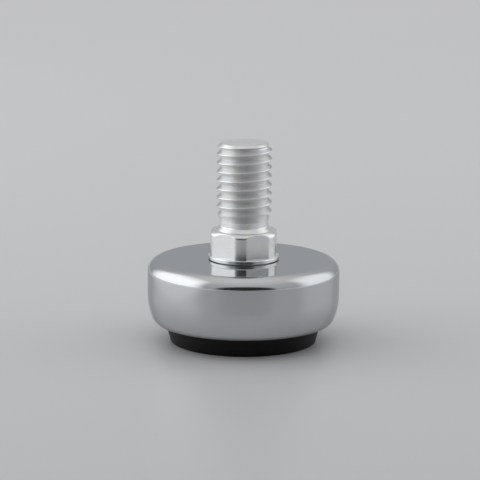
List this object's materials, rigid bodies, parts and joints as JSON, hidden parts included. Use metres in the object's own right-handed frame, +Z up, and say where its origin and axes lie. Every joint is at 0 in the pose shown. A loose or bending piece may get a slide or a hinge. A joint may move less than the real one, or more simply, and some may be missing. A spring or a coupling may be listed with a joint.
{
  "type": "threaded leveling foot",
  "caption": "Threaded leveling foot: a rolled stud with a wrench hexagon and flange swivels in a chrome-plated pressed cap that holds a black moulded plastic pad.",
  "frame": {"origin": "on the floor, under the stud's axis", "axes": "+Z up along the stud's axis; -Y is the side that the picture looks at"},
  "size_m": [0.0274, 0.0274, 0.0287],
  "materials": {
    "zinc_plated_steel": "bright zinc plating over cold-formed and rolled steel",
    "chrome_plated_steel": "polished chrome plating over pressed sheet steel",
    "black_plastic": "fine moulded grain"
  },
  "bodies": {
    "base": {"cap": "chrome_plated_steel", "base_pad": "black_plastic"},
    "stud": {"threaded_stud": "zinc_plated_steel", "retaining_washer": "zinc_plated_steel"}
  },
  "joints": [
    {"name": "stud_swivel", "type": "hinge", "parent": "base", "child": "stud", "pos_m": [0, 0, 0.0119], "axis": [0, 0, 1], "continuous": true}
  ]
}
